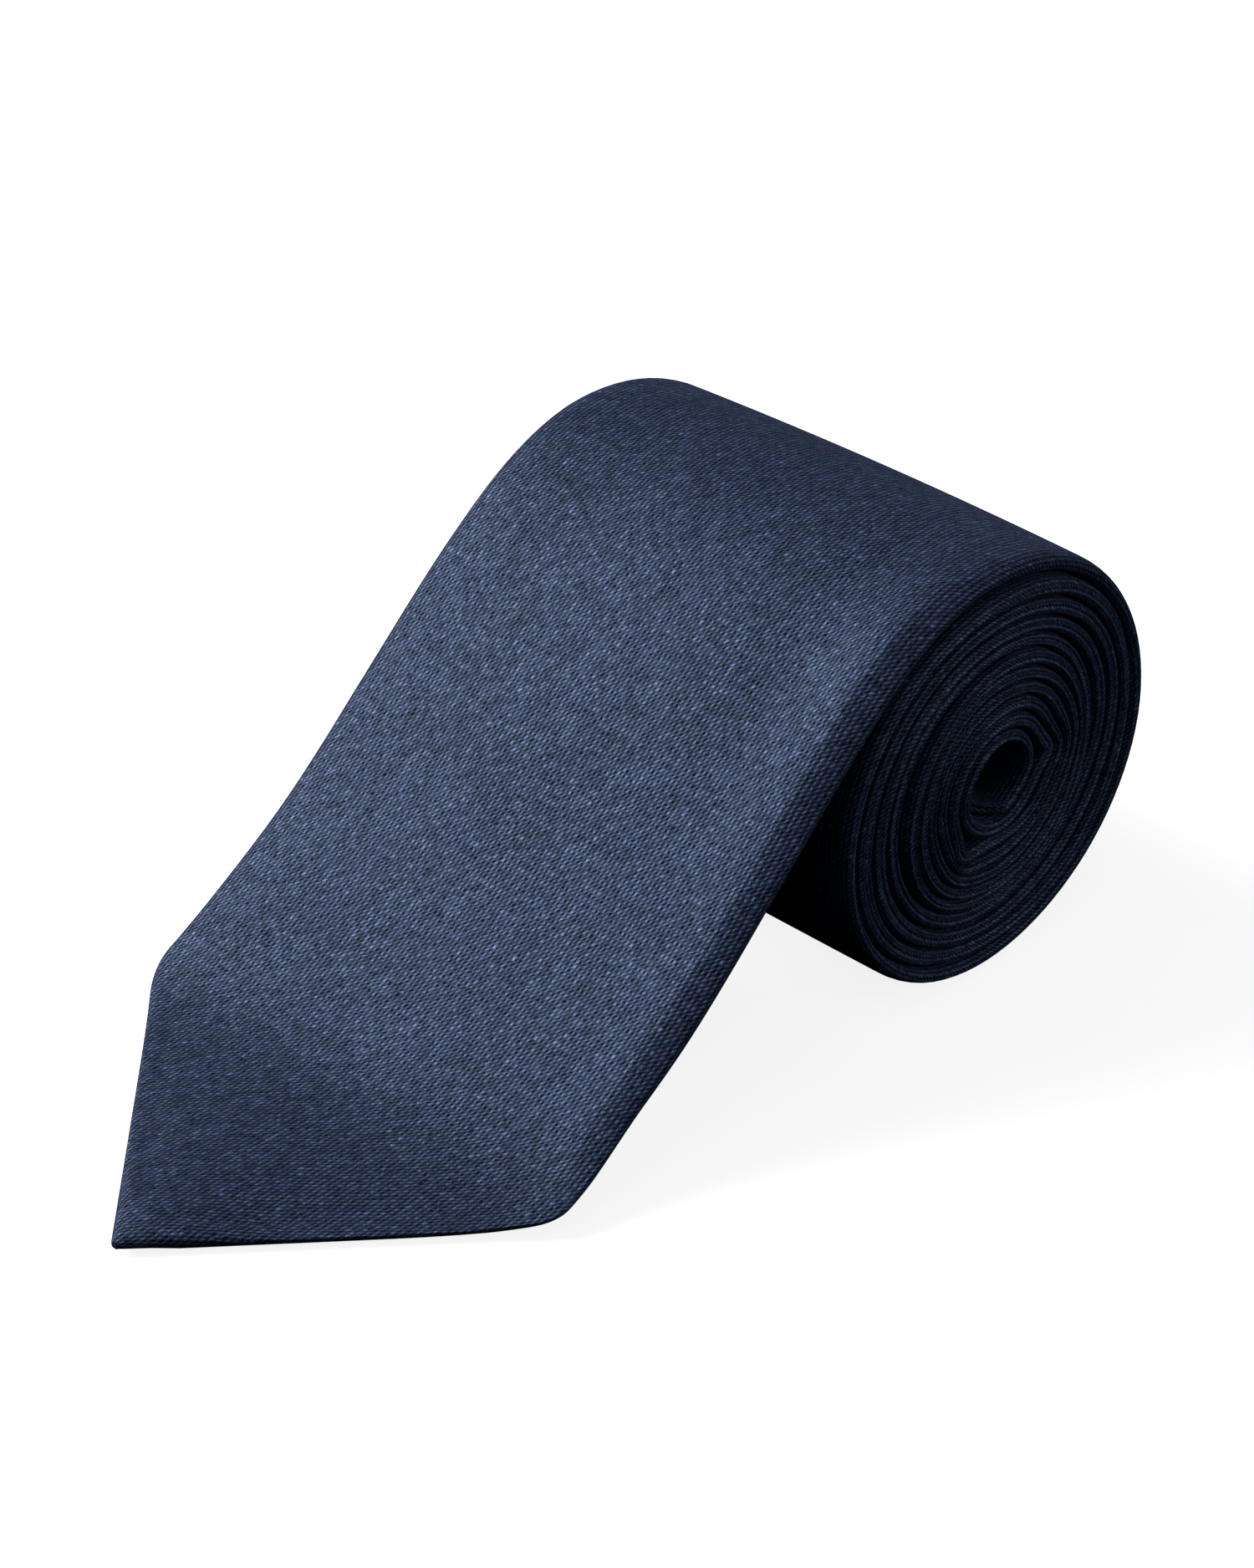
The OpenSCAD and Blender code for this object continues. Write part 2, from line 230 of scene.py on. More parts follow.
def cad_thickness(s):
    flap = TIP_T + (FLAP_T - TIP_T) * ramp(s, TIP_LEN, 80)
    return flap + (ROLL_T - flap) * ramp(s, 90, CREST_ALONG - 24)


# ---- How the real roll lies on that line ----

def corner(direction, at, width):
    """A bump round one direction of the roll, all in degrees."""
    off = (np.asarray(direction) - at + 180) % 360 - 180
    return np.exp(-(off / width) ** 2)


def turn_outside(t):
    """Radius of the outside of a turn: the CAD's at the last turn, and tighter in the middle."""
    t = np.asarray(t, float)
    sag = np.interp(t, [0, 0.9, 1.5, LOOSE_TURN, TURNS], [1.3, 1.3, 1.1, LOOSE_SAG, 0])
    r = cad_radius(t) + ROLL_T / 2 - sag
    a = turn_direction(t)
    pushed = 2.1 * corner(a, 236, 17) + 1.9 * corner(a, 2, 17)
    r = r + pushed * smooth(t, 1.45, 1.75) * np.exp(-np.maximum(0, t - 2.4) / 1.3)
    flat_side = smooth(t, 7.5, 9.5) * (1 - smooth(t, 9.9, 10.3))
    r = r + 0.5 * corner(a, 170, 40) * flat_side
    pressed = smooth(t, 5.5, 10) * (1 - smooth(t, 10.2, 10.6))
    r = r - 1.2 * corner(a, 92, 42) * pressed
    uneven = 0.12 * np.sin(np.radians(3 * a + 97 * t))
    return r + uneven * smooth(t, 1, 3) * (1 - smooth(t, 9.6, 10.2))


def turn_layer(t):
    """Thickness of the pressed tie at a turn."""
    t = np.asarray(t, float)
    room = turn_outside(t) - turn_outside(np.maximum(t - 1, 0))
    thickest = 2.3 + 0.6 * smooth(t, 6, 8)
    thickest = thickest + 1.0 * smooth(t, TURNS - 0.30, TURNS - 0.04)
    layer = np.minimum(thickest, LAYER_FILL * room)
    return np.where(t < 1.0, CORE_LAYER, np.where(t < 1.3, np.minimum(layer, CORE_LAYER), layer))


def ease(points, reach):
    """The line with its bends eased over a reach in millimetres; its ends stay where they are."""
    step = 0.5
    along = np.concatenate([[0], np.cumsum(np.linalg.norm(np.diff(points, axis=0), axis=1))])
    even = np.arange(0, along[-1], step)
    line = np.stack([np.interp(even, along, points[:, k]) for k in range(2)], -1)
    count = int(3 * reach / step)
    kernel = np.exp(-0.5 * (np.arange(-count, count + 1) * step / reach) ** 2)
    kernel = kernel / kernel.sum()
    ends = [np.repeat(2 * line[:1], count, 0) - line[count:0:-1],
            np.repeat(2 * line[-1:], count, 0) - line[-2:-count - 2:-1]]
    long = np.vstack([ends[0], line, ends[1]])
    soft = np.stack([np.convolve(long[:, k], kernel, "valid") for k in range(2)], -1)
    moved = np.stack([np.interp(along, even, soft[:, k]) for k in range(2)], -1)
    near_bend = smooth(along, along[-1] - 95, along[-1] - 75)[:, None]
    return points + (moved - points) * near_bend


wound_t = np.linspace(0, TURNS, TURNS * 240 + 1)
drawn_u = np.linspace(0, 1, 241)[1:]
bend_u = np.linspace(0, 1, 31)[1:]
flat_s = np.linspace(TIP_LEN - LAND_BEND, 0, 61)[1:]

drawn_line = drawn(drawn_u)
drawn_steps = np.linalg.norm(np.diff(np.vstack([CREST[None], drawn_line]), axis=0), axis=1)
drawn_s = CREST_ALONG - np.cumsum(drawn_steps) * DRAWN_LEN / drawn_steps.sum()
bend_s = TIP_LEN - LAND_BEND + BEND_LEN * (1 - bend_u)
line_s = np.concatenate([
    CREST_ALONG + spiral_len(TURNS) - spiral_len(wound_t), drawn_s, bend_s, flat_s])
flat_line = np.stack([APEX_Y + flat_s, np.full_like(flat_s, TIP_T / 2)], -1)
front_mid = ease(np.vstack([drawn_line, bend(bend_u), flat_line]), BEND_EASE)
front_dir = unit_rows(np.gradient(np.vstack([CREST[None], front_mid]), axis=0))[1:]
front_s = line_s[len(wound_t):]
front_rise = cad_thickness(front_s) / 2 + (TIP_LAYER - TIP_T) * (1 - smooth(front_s, 50, 80))
line_top = np.vstack([
    MIDDLE + turn_outside(wound_t)[:, None] * along_direction(turn_direction(wound_t)),
    front_mid + out_of(front_dir) * front_rise[:, None]])
line_dir = unit_rows(np.gradient(line_top, axis=0) / np.abs(np.gradient(line_s))[:, None])
flap_layer = np.interp(front_s, [0, TIP_LEN, 70, 100, 128, CREST_ALONG],
                       [TIP_LAYER, TIP_LAYER, FLAP_LAYER, FLAP_LAYER, 3.7,
                        float(turn_layer(float(TURNS)))])
line_layer = np.concatenate([turn_layer(wound_t), flap_layer])


def on_line(values, s):
    """A value of the line at distances s along the tie."""
    x = -np.asarray(s, float)
    if values.ndim == 1:
        return np.interp(x, -line_s, values)
    return np.stack([np.interp(x, -line_s, values[:, k]) for k in range(values.shape[1])], -1)


def layer_at(s):
    """Thickness of the pressed tie."""
    return on_line(line_layer, s)


def along_of(t):
    """Distance from the apex at t turns from the tail end."""
    return TIE_LEN - spiral_len(t)


def turns_of(s):
    """Turns from the tail end at distances s: along_of the other way round."""
    left = ROLL_LEN - (np.asarray(s, float) - CREST_ALONG)
    k = math.pi * PITCH
    return (-2 * math.pi * CORE_R + np.sqrt(4 * math.pi**2 * CORE_R**2 + 4 * k * left)) / (2 * k)


# ---- The edges of the tie ----

def soft_min(a, b, rounding):
    """The lesser of two values, eased where they meet; it rounds the shoulders of the tip."""
    h = np.maximum(rounding - np.abs(a - b), 0) / rounding
    return np.minimum(a, b) - h * h * rounding / 4


def side_edges(s):
    """x of the left and the right edge."""
    s = np.asarray(s, float)
    w = width_at(s)
    t = turns_of(np.maximum(s, CREST_ALONG))
    dent = 0.5 * corner(t * 360, 7.1 * 360, 60) * (abs(t - 7.1) < 0.5)
    proud = 0.9 * (1 - smooth(t, 6.2, 6.9)) - dent
    jitter = 0.16 * np.sin(7.3 * t) + 0.12 * np.sin(17.1 * t + 1)
    inside = smooth(s, CREST_ALONG, CREST_ALONG + 60)
    tail_cut = TAIL_W / 2 * 0.9 * ramp(s, TIE_LEN - TAIL_POINT, TIE_LEN)
    drawn_in = smooth(s, 42, 62) * (1 - smooth(s, CREST_ALONG, CREST_ALONG + 60))
    right = np.where(s <= CREST_ALONG, w / 2, FLUSH_X + (proud + jitter) * inside - tail_cut)
    right = right - DRAWN_IN * drawn_in
    left = np.where(s <= CREST_ALONG, -w / 2, FLUSH_X - w + jitter * inside + tail_cut)
    left = left + NARROWED * left_lift(s)
    f = s / TIP_LEN
    tip_left = (BLADE_W / 2 + APEX_SHIFT) * f - APEX_SHIFT
    tip_right = (BLADE_W / 2 - APEX_SHIFT) * f + APEX_SHIFT
    near_tip = s < PAST_SHOULDER
    left = np.where(near_tip, -soft_min(-left, tip_left, 4.2), left)
    right = np.where(near_tip, soft_min(right, tip_right, 2.0), right)
    return left, right


def lapped(s):
    """0 where the back is open or its edges meet, and 1 where they lap."""
    return smooth(s, TACK_ALONG + 1, TACK_ALONG + 16)


def back_edges(s):
    """x of the cloth's two free edges on the back: the right-hand one laps over the left."""
    s = np.asarray(s, float)
    left, right = side_edges(s)
    middle = (left + right) / 2
    lap = LAP * lapped(s)
    half = OPENING_HALF * np.clip((TACK_ALONG - s) / (TACK_ALONG - TIP_LEN), 0, 2)
    half = np.where(s < TACK_ALONG, np.maximum(half, SLIT_HALF), SLIT_HALF)
    in_left = HEM * math.hypot(BLADE_W / 2 + APEX_SHIFT, TIP_LEN) / TIP_LEN
    in_right = HEM * math.hypot(BLADE_W / 2 - APEX_SHIFT, TIP_LEN) / TIP_LEN
    tip = s < TIP_LEN
    vl = np.where(tip, np.maximum(-half, left + in_left), -half)
    vr = np.where(tip, np.minimum(half, right - in_right), half)
    closed = vl > vr - 2 * SLIT_HALF
    mid = (vl + vr) / 2
    vl = np.where(closed, mid - SLIT_HALF, vl)
    vr = np.where(closed, mid + SLIT_HALF, vr)
    beyond = s >= TACK_ALONG
    vl = np.where(beyond, middle - SLIT_HALF + lap, vl)
    vr = np.where(beyond, middle + SLIT_HALF - lap, vr)
    return vl, vr


# ---- The folded section of the tie ----

def fold_section(s, front_n, arc_n, back_n):
    """x, depth below the top and distance round the cloth of the outer face, one row for each s."""
    s = np.asarray(s, float)
    left, right = side_edges(s)
    vl, vr = back_edges(s)
    layer = layer_at(s)
    width = right - left
    straight = TIP_SLANT + (1 - TIP_SLANT) * smooth(s, TIP_LEN, PAST_SHOULDER)
    slant = np.where(s < TIP_LEN, TIP_SLANT, straight)
    wound = smooth(s, CREST_ALONG, CREST_ALONG + 70)
    deep = smooth(s, CREST_ALONG + 120, CREST_ALONG + 260)
    a_top = EDGE_TOP * slant + (EDGE_TOP_CORE - EDGE_TOP) * deep
    a_low = (EDGE_LOW - 0.5 * deep) * slant
    # The drawn blade lies loose, and its right edge is puffed more than its left
    loose = smooth(s, 8, 40) * (1 - smooth(s, CREST_ALONG - 14, CREST_ALONG + 20))
    a_right = np.minimum(a_top * (1 + 0.35 * loose), 0.42 * width)
    a_top = np.minimum(a_top, 0.42 * width)
    a_low = np.minimum(a_low, 0.30 * width)
    on_tip = 1 - smooth(s, 36, 60)
    crown = TIP_CROWN * on_tip * smooth(s, 4, 20)
    crown = crown + (FLAP_CROWN * (1 - wound) + ROLL_CROWN * wound) * (1 - on_tip)
    right_crown = crown + 0.45 * on_tip * smooth(s, 4, 20) - 0.4 * loose * (1 - on_tip)
    groove = 0.45 * deep + 0.10 * wound
    z0 = (-0.5 - 0.05 * np.maximum(wound, on_tip)) * layer
    phi = np.linspace(-90, 90, arc_n)
    c, k = np.cos(np.radians(phi)), np.sin(np.radians(phi))
    up = phi > 0

    def arc(edge, side, top, crown, bevel):
        """A folded edge; bevel above 0 flattens the upper half of its curve."""
        a = np.where(up, top[:, None], a_low[:, None])
        power = np.where(up, 1 + bevel[:, None], 1.0)
        high = (-crown - z0)[:, None]
        low = (layer + z0)[:, None]
        n = z0[:, None] + np.where(up, high * np.abs(k) ** power, low * k)
        dent = groove[:, None] * np.exp(-((phi - 4) / 17.0) ** 2)
        return edge[:, None] - side * (a * (1 - c ** power) + dent), n

    xr, nr = arc(right, 1, a_right, right_crown, 0.6 * loose)
    xl, nl = arc(left, -1, a_top, crown, np.zeros_like(loose))
    f = np.linspace(0, 1, front_n + 2)[1:-1]
    start, end = (right - a_right)[:, None], (left + a_top)[:, None]
    xf = start + (end - start) * f
    nf = -np.where(f < 0.5, right_crown[:, None], crown[:, None]) * (2 * f - 1) ** 2
    g = np.linspace(0, 1, back_n + 1)[:-1]
    xb_r = vr[:, None] + (right - a_low - vr)[:, None] * g
    xb_l = (vl[:, None] + (left + a_low - vl)[:, None] * g)[:, ::-1]

    def back_depth(x):
        inset = np.minimum(x - left[:, None], right[:, None] - x)
        dip = 0.42 * smooth(inset, 3.0, 9.0) * smooth(s, 45, 70)[:, None]
        return -layer[:, None] + dip

    middle = ((left + right) / 2)[:, None]
    raised = 1 - smooth(xb_r, middle + 3.4, middle + 6.0)
    nb_r = back_depth(xb_r) - 0.44 * lapped(s)[:, None] * raised
    nb_l = back_depth(xb_l)
    x = np.hstack([xb_r, xr, xf, xl[:, ::-1], xb_l])
    n = np.hstack([nb_r, nr, nf, nl[:, ::-1], nb_l])
    step = np.hypot(np.diff(x, axis=1), np.diff(n, axis=1))
    reach = np.hstack([np.zeros((len(s), 1)), np.cumsum(step, axis=1)])
    mid = x.shape[1] // 2
    # The section runs out to a thin edge at the apex
    run_out = (0.12 + 0.88 * ramp(s, 0, 7) ** 0.6)[:, None]
    n = z0[:, None] + (n - z0[:, None]) * run_out
    around = reach[:, mid:mid + 1] - reach + x[:, mid:mid + 1]
    return x, n, around


def inner_face(x, n, thick):
    """The face of the cloth that looks inwards, thick below the outer one."""
    dx = np.gradient(x, axis=1)
    dn = np.gradient(n, axis=1)
    size = np.hypot(dx, dn) + 1e-9
    return x - thick * dn / size, n + thick * dx / size


def left_lift(s):
    """Where the left edge lifts most from the table: just above the shoulder."""
    return np.exp(-((s - 54) / 17) ** 2)


def ripple(x, s):
    """Gentle unevenness of the drawn blade, which lies loosely.

    Its folded edges stand a little proud of the cloth beside them, most of all on the right by the
    roll and on the left by the tip.
    """
    free = smooth(s, 30, 52) * (1 - smooth(s, CREST_ALONG - 6, CREST_ALONG + 14))
    wave = 0.42 * np.sin(x / 15.0 + s / 31.0 + 0.6) + 0.22 * np.sin(x / 9.0 - s / 17.0 + 2.1)
    wave = wave + 0.08 * np.sin(x / 5.3 + s / 8.7)
    right_share = 0.05 + 0.95 * np.exp(-((s - 126) / 24) ** 2)
    inset = BLADE_W / 2 - np.abs(x)
    ridge = 0.8 * np.exp(-((inset - 7) / 4) ** 2) - 0.9 * np.exp(-((inset - 17) / 6.5) ** 2)
    rim = 1.1 * (1 - smooth(inset, 5, 34)) * left_lift(s)
    proud = np.where(x > 0, ridge * right_share, rim + 0.15 * ridge)
    return free * (0.6 * wave * smooth(inset, 0.0, 9.0) + proud)


def place(x, n, s):
    """Points in the row frame, in metres, from x and depth at distances s."""
    top, d = on_line(line_top, s), unit_rows(on_line(line_dir, s))
    out = out_of(d)
    n = n + ripple(x, s[:, None])
    y = top[:, 0:1] + n * out[:, 0:1]
    z = top[:, 1:2] + n * out[:, 1:2]
    return np.stack([x, y, z], -1) * MM


# ---- Meshes ----

def strip_quads(k):
    """The end faces of rings that run k points out and k points back."""
    return [(j, j + 1, 2 * k - 2 - j, 2 * k - 1 - j) for j in range(k - 1)]


def new_object(name, data):
    obj = bpy.data.objects.new(name, data)
    bpy.context.scene.collection.objects.link(obj)
    return obj


def ring_mesh(name, rings, u, v, cap_quads=None):
    """A closed mesh through rings of points; u and v are its cloth coordinates in millimetres."""
    rows, m = rings.shape[:2]
    faces = []
    uvs = []
    for i in range(rows - 1):
        for j in range(m):
            k = (j + 1) % m
            faces.append((i * m + j, i * m + k, (i + 1) * m + k, (i + 1) * m + j))
            uvs.extend([(u[i, j], v[i]), (u[i, k], v[i])])
            uvs.extend([(u[i + 1, k], v[i + 1]), (u[i + 1, j], v[i + 1])])
    seam = len(faces)
    for i, flip in ((0, True), (rows - 1, False)):
        quads = cap_quads if cap_quads else [tuple(range(m))]
        for q in quads:
            q = q[::-1] if flip else q
            faces.append(tuple(i * m + j for j in q))
            uvs.extend([(u[i, j], v[i]) for j in q])
    mesh = bpy.data.meshes.new(name)
    mesh.from_pydata(rings.reshape(-1, 3).tolist(), [], faces)
    layer = mesh.uv_layers.new(name="cloth")
    layer.data.foreach_set("uv", np.array(uvs, np.float32).ravel())
    mesh.polygons.foreach_set("use_smooth", [True] * seam + [False] * (len(faces) - seam))
    mark_cap_edges(mesh, rows, m)
    mesh.validate()
    mesh.update()
    obj = new_object(name, mesh)
    if mesh_volume(obj) < 0:
        mesh.flip_normals()
    return obj


def mark_cap_edges(mesh, rows, m):
    """Keeps the edges round both ends of the mesh sharp."""
    last = (rows - 1) * m
    sharp = mesh.attributes.new("sharp_edge", "BOOLEAN", "EDGE")
    ends = np.zeros(len(mesh.edges) * 2, np.int32)
    mesh.edges.foreach_get("vertices", ends)
    ends = ends.reshape(-1, 2)
    flag = (ends < m).all(1) | (ends >= last).all(1)
    sharp.data.foreach_set("value", flag)


def mesh_volume(obj):
    mesh = obj.data
    mesh.calc_loop_triangles()
    tri = np.zeros(len(mesh.loop_triangles) * 3, np.int32)
    mesh.loop_triangles.foreach_get("vertices", tri)
    co = np.zeros(len(mesh.vertices) * 3, np.float32)
    mesh.vertices.foreach_get("co", co)
    p = co.reshape(-1, 3).astype(float)[tri.reshape(-1, 3)]
    return float(np.einsum("ij,ij->i", p[:, 0], np.cross(p[:, 1], p[:, 2])).sum() / 6)


def shell_piece(name, s, front_n=FRONT_N, arc_n=ARC_N, back_n=BACK_N):
    """A stretch of the folded outer cloth, as thin as the real cloth."""
    x, n, around = fold_section(s, front_n, arc_n, back_n)
    # Both back edges are turned in, so the cloth is double there
    end = np.minimum(np.arange(x.shape[1]), np.arange(x.shape[1])[::-1])
    turned = np.where(end < 3, 2.0, 1.0)
    thick = CLOTH * turned
    thick[end == 0] = CLOTH
    left, right = side_edges(s)
    slim = np.clip((right - left) / 9, 0.06, 1)
    ix, inn = inner_face(x, n, slim[:, None] * thick)
    # The cloth closes up into a solid point at the apex
    plug = 0.9 * (1 - ramp(s, 0.5, 4.0))[:, None]
    ix = ix + plug * (x.mean(axis=1, keepdims=True) - ix)
    inn = inn + plug * (n.mean(axis=1, keepdims=True) - inn)
    outer = place(x, n, s)
    inner = place(ix, inn, s)
    rings = np.concatenate([outer, inner[:, ::-1]], axis=1)
    u = np.hstack([around, around[:, ::-1]])
    return ring_mesh(name, rings, u, s, strip_quads(x.shape[1]))


def wound_stations(t0, t1, per_turn):
    """Distances along the tie at even steps of the roll, from t0 to t1 turns."""
    count = max(2, int(round((t1 - t0) * per_turn)) + 1)
    return along_of(np.linspace(t0, t1, count))


# The pieces that cross a joint meet where the drawn blade is straight and moves as one
CUT_ALONG = 85.0
BOTTOM_TURN = TURNS - (LEAVE_DIR + 90) / 360
NECK_TURN = round(float(turns_of(NECK_ALONG)) * 24) / 24
TAIL_TURN = round(float(turns_of(TAIL_ALONG)) * 24) / 24

upper_s = np.concatenate([
    wound_stations(BOTTOM_TURN, TURNS, 90), np.linspace(CREST_ALONG, CUT_ALONG, 40)[1:]])
lower_s = np.concatenate([
    np.linspace(CUT_ALONG, PAST_SHOULDER, 20), np.linspace(PAST_SHOULDER, TIP_LEN - 10, 22)[1:],
    np.linspace(TIP_LEN - 10, 4, 30)[1:], np.linspace(4, 0.5, 8)[1:]])


def bend_with_blade(obj):
    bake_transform(obj)


def bend_with_tip(obj):
    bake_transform(obj)


# ---- Threads and small flat pieces ----

def tube_rings(points, radius, sides=8):
    """Rings of points round a path, and the distance along it in millimetres."""
    d = unit_rows(np.gradient(points, axis=0))
    side = np.cross(d[0], [0.3, 0.2, 1.0])
    side = side / np.linalg.norm(side)
    rings = []
    for p, t in zip(points, d):
        side = side - t * (side @ t)
        side = side / np.linalg.norm(side)
        other = np.cross(t, side)
        a = np.linspace(0, 2 * math.pi, sides, endpoint=False)
        rings.append(p + radius * (np.cos(a)[:, None] * side + np.sin(a)[:, None] * other))
    reach = np.concatenate([[0], np.cumsum(np.linalg.norm(np.diff(points, axis=0), axis=1))])
    return np.array(rings), reach / MM


def tie_points(x, depth, s):
    """A path on the tie, from x across it, depth from its top face and distance s."""
    x, depth, s = np.broadcast_arrays(*(np.asarray(v, float) for v in (x, depth, s)))
    return place(x[:, None], depth[:, None], s)[:, 0]


def rename(obj, name):
    obj.name = name
    obj.data.name = name
    return obj


def join_pieces(name, parts):
    """One object from several closed meshes."""
    with bpy.context.temp_override(
        active_object=parts[0], selected_editable_objects=parts, selected_objects=parts):
        bpy.ops.object.join()
    return rename(parts[0], name)


def thread_piece(name, paths, thickness):
    parts = []
    for number, path in enumerate(paths):
        rings, reach = tube_rings(path, thickness / 2 * MM)
        around = np.linspace(0, math.pi * thickness, rings.shape[1], endpoint=False)
        u = np.repeat(around[None], len(rings), 0)
        parts.append(ring_mesh(f"{name}_{number}", rings, u, reach))
    return join_pieces(name, parts) if len(parts) > 1 else rename(parts[0], name)


def back_middle(s):
    left, right = side_edges(s)
    return (left + right) / 2


def strip_piece(name, s, x_path, n_path, thick):
    """A strip of cloth whose section follows a path of x and depth, the same at each s."""
    x = np.repeat(np.asarray(x_path, float)[None], len(s), 0)
    n = np.asarray(n_path, float)[None] - layer_at(s)[:, None]
    ix, inn = inner_face(x, n, thick)
    rings = np.concatenate([place(x, n, s), place(ix[:, ::-1], inn[:, ::-1], s)], axis=1)
    step = np.hypot(np.diff(x[0]), np.diff(n[0]))
    around = np.concatenate([[0], np.cumsum(step)])
    u = np.repeat(np.concatenate([around, around[::-1]])[None], len(s), 0)
    return ring_mesh(name, rings, u, s, strip_quads(x.shape[1]))


def front_depth(s, x):
    """Depth of the outer cloth's front face at x."""
    sx, sn, _ = fold_section(s, FRONT_N, ARC_N, BACK_N)
    rows = []
    for i in range(len(s)):
        lo, hi = int(np.argmin(sx[i])), int(np.argmax(sx[i]))
        rows.append(np.interp(x[i], sx[i, hi:lo + 1][::-1], sn[i, hi:lo + 1][::-1]))
    return np.array(rows)


# ---- Materials ----

SPOT_U = 0.735  # the weave repeats this often across the tie and along it
SPOT_V = 0.765


class Shader:
    """A material's node tree, with short ways to add nodes."""

    def __init__(self, name):
        self.mat = bpy.data.materials.new(name)
        self.mat.use_nodes = True
        self.tree = self.mat.node_tree
        self.bsdf = self.tree.nodes["Principled BSDF"]

    def put(self, socket, value):
        if isinstance(value, bpy.types.NodeSocket):
            self.tree.links.new(value, socket)
        else:
            socket.default_value = value

    def node(self, kind, values=(), **settings):
        made = self.tree.nodes.new(kind)
        for key, value in settings.items():
            setattr(made, key, value)
        for key, value in dict(values).items():
            self.put(made.inputs[key], value)
        return made

    def math(self, operation, a, b=0.0, c=0.0):
        return self.node("ShaderNodeMath", {0: a, 1: b, 2: c}, operation=operation).outputs[0]

    def add(self, a, b):
        return self.math("ADD", a, b)

    def times(self, a, b):
        return self.math("MULTIPLY", a, b)

    def sine(self, value, length):
        return self.math("SINE", self.times(value, 2 * math.pi / length))

    def half_up(self, wave):
        """Brings a wave from -1..1 to 0..1."""
        return self.math("MULTIPLY_ADD", wave, 0.5, 0.5)

    def cloth_uv(self):
        uv = self.node("ShaderNodeUVMap", uv_map="cloth").outputs[0]
        parts = self.node("ShaderNodeSeparateXYZ", {0: uv})
        return parts.outputs[0], parts.outputs[1]

    def joined(self, x, y, z=0.0):
        return self.node("ShaderNodeCombineXYZ", {0: x, 1: y, 2: z}).outputs[0]

    def noise(self, vector, scale, detail=2.0, roughness=0.5):
        made = self.node("ShaderNodeTexNoise", {
            "Vector": vector, "Scale": scale, "Detail": detail, "Roughness": roughness})
        return made.outputs[0]

    def spread(self, value, low, high, to_low, to_high):
        return self.node("ShaderNodeMapRange", {
            0: value, 1: low, 2: high, 3: to_low, 4: to_high}).outputs[0]

    def mixed(self, factor, a, b):
        made = self.node("ShaderNodeMix", data_type="RGBA")
        self.put(made.inputs[0], factor)
        self.put(made.inputs[6], a)
        self.put(made.inputs[7], b)
        return made.outputs[2]

    def scaled(self, colour, factor):
        colour = colour[:3] if isinstance(colour, tuple) else colour
        made = self.node("ShaderNodeVectorMath", {0: colour, 3: factor}, operation="SCALE")
        return made.outputs[0]

    def bump(self, height, strength, distance):
        return self.node("ShaderNodeBump", {
            "Height": height, "Strength": strength, "Distance": distance}).outputs[0]

    def finish(self, **values):
        for key, value in values.items():
            self.put(self.bsdf.inputs[key.replace("_", " ")], value)
        return self.mat


def float_spots(sh, u, v, shift, long, wide, lean):
    """Soft spots on a grid square to the tie, each lying at an angle of lean degrees.

    Gives the spots, and a chance from 0 to 1 that is the same all over each cell of the grid.
    """
    cu = sh.math("MULTIPLY_ADD", u, 1 / SPOT_U, shift)
    cv = sh.math("MULTIPLY", v, 1 / SPOT_V)
    fu = sh.times(sh.math("SUBTRACT", sh.math("FRACT", cu), 0.5), SPOT_U)
    fv = sh.times(sh.math("SUBTRACT", sh.math("FRACT", cv), 0.5), SPOT_V)
    c, k = math.cos(math.radians(lean)), math.sin(math.radians(lean))
    along = sh.add(sh.times(fu, c / long), sh.times(fv, k / long))
    across = sh.add(sh.times(fu, -k / wide), sh.times(fv, c / wide))
    size = sh.add(sh.times(along, along), sh.times(across, across))
    spot = sh.math("EXPONENT", sh.times(size, -1.0))
    cell = sh.joined(sh.math("FLOOR", cu), sh.math("FLOOR", cv), shift)
    chance = sh.node("ShaderNodeTexWhiteNoise", {"Vector": cell}, noise_dimensions="3D")
    return spot, chance.outputs[0]


